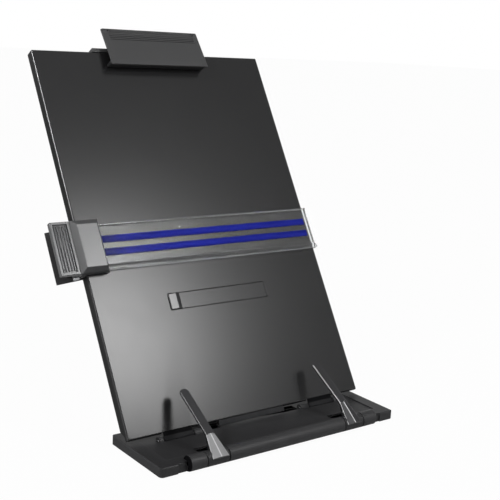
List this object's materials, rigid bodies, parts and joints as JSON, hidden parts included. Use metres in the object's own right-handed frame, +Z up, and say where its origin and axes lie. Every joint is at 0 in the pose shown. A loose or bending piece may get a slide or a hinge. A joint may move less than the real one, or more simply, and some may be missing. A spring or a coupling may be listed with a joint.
{
  "type": "copy holder",
  "caption": "Desk copy holder with a leaning steel board, a clear line guide that slides along it, a spring clip at the top and swinging page arms on a low base.",
  "frame": {"origin": "On the desk plane, on the middle plane, under the board's lower front edge: the centre of the long rubber foot.", "axes": "+X along the board's width to the right as the user sits, +Y from the front to the back, +Z up."},
  "size_m": [0.267, 0.2422, 0.3239],
  "materials": {
    "black_plastic": "moulded, semi-gloss",
    "arm_plastic": "moulded, glossy",
    "black_enamel": "semi-gloss stove enamel",
    "label_plastic": "smooth, bare",
    "zinc_steel": "zinc plated",
    "screw_steel": "bright plated",
    "spring_steel": "drawn wire",
    "black_rubber": "matte",
    "grey_plastic": "fine satin grain",
    "grip_plastic": "satin, ribbed",
    "clip_plastic": "satin",
    "clear_acrylic": "clear, polished",
    "blue_ink": "printed film",
    "black_felt": "felt"
  },
  "bodies": {
    "base": {"base_tray": "black_plastic", "base_plate": "zinc_steel", "base_screws": "screw_steel", "rubber_feet": "black_rubber", "tilt_rack": "black_plastic", "arm_axles": "screw_steel", "axle_plugs": "black_plastic", "spring_washers": "screw_steel", "hinge_pins": "screw_steel"},
    "arm_left": {"page_arm_left": "arm_plastic"},
    "arm_right": {"page_arm_right": "arm_plastic"},
    "board": {"board_panel": "black_enamel", "blank_label": "label_plastic", "strut_bracket": "zinc_steel", "strut_pin": "screw_steel", "clip_base": "clip_plastic", "clip_screws": "screw_steel", "clip_pin": "screw_steel", "clip_spring": "spring_steel"},
    "strut": {"support_strut": "black_enamel", "strut_foot": "black_rubber"},
    "clip": {"clip_plate": "clip_plastic", "clip_pad": "black_rubber"},
    "guide": {"guide_body": "grey_plastic", "guide_grip": "grip_plastic", "guide_strip": "clear_acrylic", "guide_stripes": "blue_ink", "strip_screws": "screw_steel", "guide_felt": "black_felt", "guide_pin": "screw_steel", "guide_spring": "spring_steel"},
    "lever": {"guide_lever": "black_plastic", "lever_felt": "black_felt"}
  },
  "joints": [
    {"name": "board_tilt", "type": "hinge", "parent": "base", "child": "board", "pos_m": [0, -0.00071, 0.00714], "axis": [1, 0, 0], "range_deg": [-20, 15]},
    {"name": "strut_swing", "type": "hinge", "parent": "board", "child": "strut", "pos_m": [0, 0.04052, 0.06362], "axis": [1, 0, 0], "range_deg": [-30, 40]},
    {"name": "guide_slide", "type": "slide", "parent": "board", "child": "guide", "axis": [0, 0.5225, 0.8526], "range_m": [-0.104, 0.14]},
    {"name": "guide_lever_turn", "type": "hinge", "parent": "guide", "child": "lever", "pos_m": [-0.1279, 0.08563, 0.14622], "axis": [0, 0.5225, 0.8526], "range_deg": [0, 20], "stiffness_Nm_per_rad": 0.08, "springref_deg": -11.46, "deforming": ["guide_spring"]},
    {"name": "clip_lever_turn", "type": "hinge", "parent": "board", "child": "clip", "pos_m": [0, 0.17899, 0.31044], "axis": [-1, 0, 0], "range_deg": [0, 20], "stiffness_Nm_per_rad": 0.15, "springref_deg": -14.32, "deforming": ["clip_spring"]},
    {"name": "arm_left_turn", "type": "hinge", "parent": "base", "child": "arm_left", "pos_m": [-0.07, -0.0465, 0.0069], "axis": [1, 0, 0], "range_deg": [-8, 120]},
    {"name": "arm_right_turn", "type": "hinge", "parent": "base", "child": "arm_right", "pos_m": [0.07, -0.0465, 0.0069], "axis": [1, 0, 0], "range_deg": [-8, 120]}
  ],
  "couplings": [
    {"joint": "strut_swing", "follows": "board_tilt", "ratio": -2}
  ]
}
